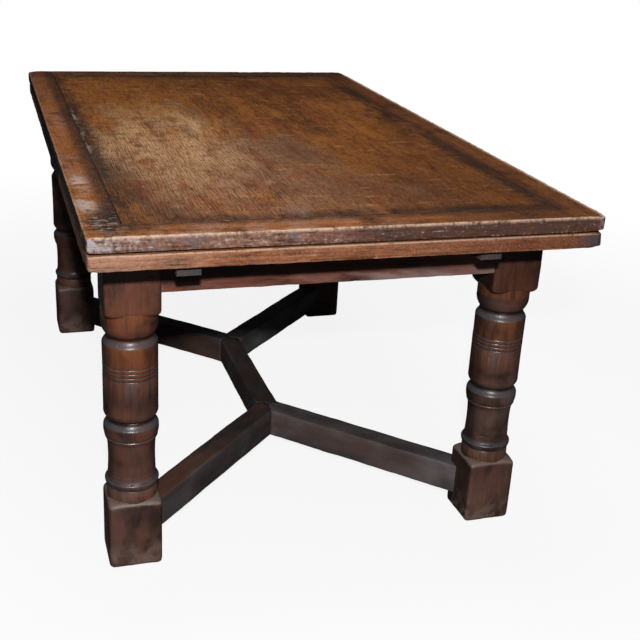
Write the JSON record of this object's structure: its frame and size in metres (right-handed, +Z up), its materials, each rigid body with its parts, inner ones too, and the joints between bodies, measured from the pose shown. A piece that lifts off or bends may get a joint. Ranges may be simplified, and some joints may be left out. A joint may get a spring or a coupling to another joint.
{
  "type": "refectory table",
  "caption": "Draw-leaf refectory table in dark oak, with turned legs, a forked floor stretcher and end leaves that pull out from under a loose framed top.",
  "frame": {"origin": "on the floor under the middle of the table", "axes": "+X along the table's length to its front end, +Y across it, +Z up"},
  "size_m": [1.655, 0.995, 0.765],
  "materials": {
    "oak_boards": "worn wax",
    "oak_borders": "worn wax",
    "oak_legs": "dark wax",
    "oak_rails": "dark wax",
    "oak_stretcher": "dusty dark wax",
    "oak_inside": "bare",
    "screw_iron": "dull"
  },
  "bodies": {
    "frame": {"centre_board": "oak_inside", "centre_board_pegs": "oak_inside", "cross_rail": "oak_inside", "end_rail_front": "oak_rails", "end_rail_rear": "oak_rails", "leg_front_left": "oak_legs", "leg_front_right": "oak_legs", "leg_rear_left": "oak_legs", "leg_rear_right": "oak_legs", "rail_pegs": "oak_inside", "side_rail_left": "oak_rails", "side_rail_right": "oak_rails", "stretcher_arm_front_left": "oak_stretcher", "stretcher_arm_front_right": "oak_stretcher", "stretcher_arm_rear_left": "oak_stretcher", "stretcher_arm_rear_right": "oak_stretcher", "stretcher_beam": "oak_stretcher"},
    "front_leaf": {"front_leaf_board_1": "oak_boards", "front_leaf_board_2": "oak_boards", "front_leaf_board_3": "oak_boards", "front_leaf_board_4": "oak_boards", "front_leaf_board_5": "oak_boards", "front_leaf_butted_border": "oak_borders", "front_leaf_end_border": "oak_borders", "front_leaf_inner_bearer": "oak_inside", "front_leaf_outer_bearer": "oak_inside", "front_leaf_screws": "screw_iron", "front_leaf_stop_pegs": "oak_inside", "front_leaf_through_border": "oak_borders"},
    "rear_leaf": {"rear_leaf_board_1": "oak_boards", "rear_leaf_board_2": "oak_boards", "rear_leaf_board_3": "oak_boards", "rear_leaf_board_4": "oak_boards", "rear_leaf_board_5": "oak_boards", "rear_leaf_butted_border": "oak_borders", "rear_leaf_end_border": "oak_borders", "rear_leaf_inner_bearer": "oak_inside", "rear_leaf_outer_bearer": "oak_inside", "rear_leaf_screws": "screw_iron", "rear_leaf_stop_pegs": "oak_inside", "rear_leaf_through_border": "oak_borders"},
    "guide_dowels": {"guide_dowels": "oak_inside"},
    "main_top": {"top_board_1": "oak_boards", "top_board_2": "oak_boards", "top_board_3": "oak_boards", "top_board_4": "oak_boards", "top_board_5": "oak_boards", "top_end_border_front": "oak_borders", "top_end_border_rear": "oak_borders", "top_side_border_left": "oak_borders", "top_side_border_right": "oak_borders"}
  },
  "joints": [
    {"name": "front_leaf_draw", "type": "slide", "parent": "frame", "child": "front_leaf", "axis": [0.9982, 0, 0.06], "range_m": [0, 0.56652]},
    {"name": "rear_leaf_draw", "type": "slide", "parent": "frame", "child": "rear_leaf", "axis": [-0.9982, 0, 0.06], "range_m": [0, 0.56652]},
    {"name": "top_lift_front", "type": "hinge", "parent": "frame", "child": "guide_dowels", "pos_m": [-0.8275, 0, 0.735], "axis": [0, -1, 0], "range_deg": [0, 1.16]},
    {"name": "top_lift_rear", "type": "hinge", "parent": "guide_dowels", "child": "main_top", "pos_m": [0.8275, 0, 0.735], "axis": [0, 1, 0], "range_deg": [0, 1.16]}
  ],
  "couplings": [
    {"joint": "top_lift_front", "follows": "front_leaf_draw", "rad_per_m": 0.03573},
    {"joint": "top_lift_rear", "follows": "rear_leaf_draw", "rad_per_m": 0.03573}
  ]
}
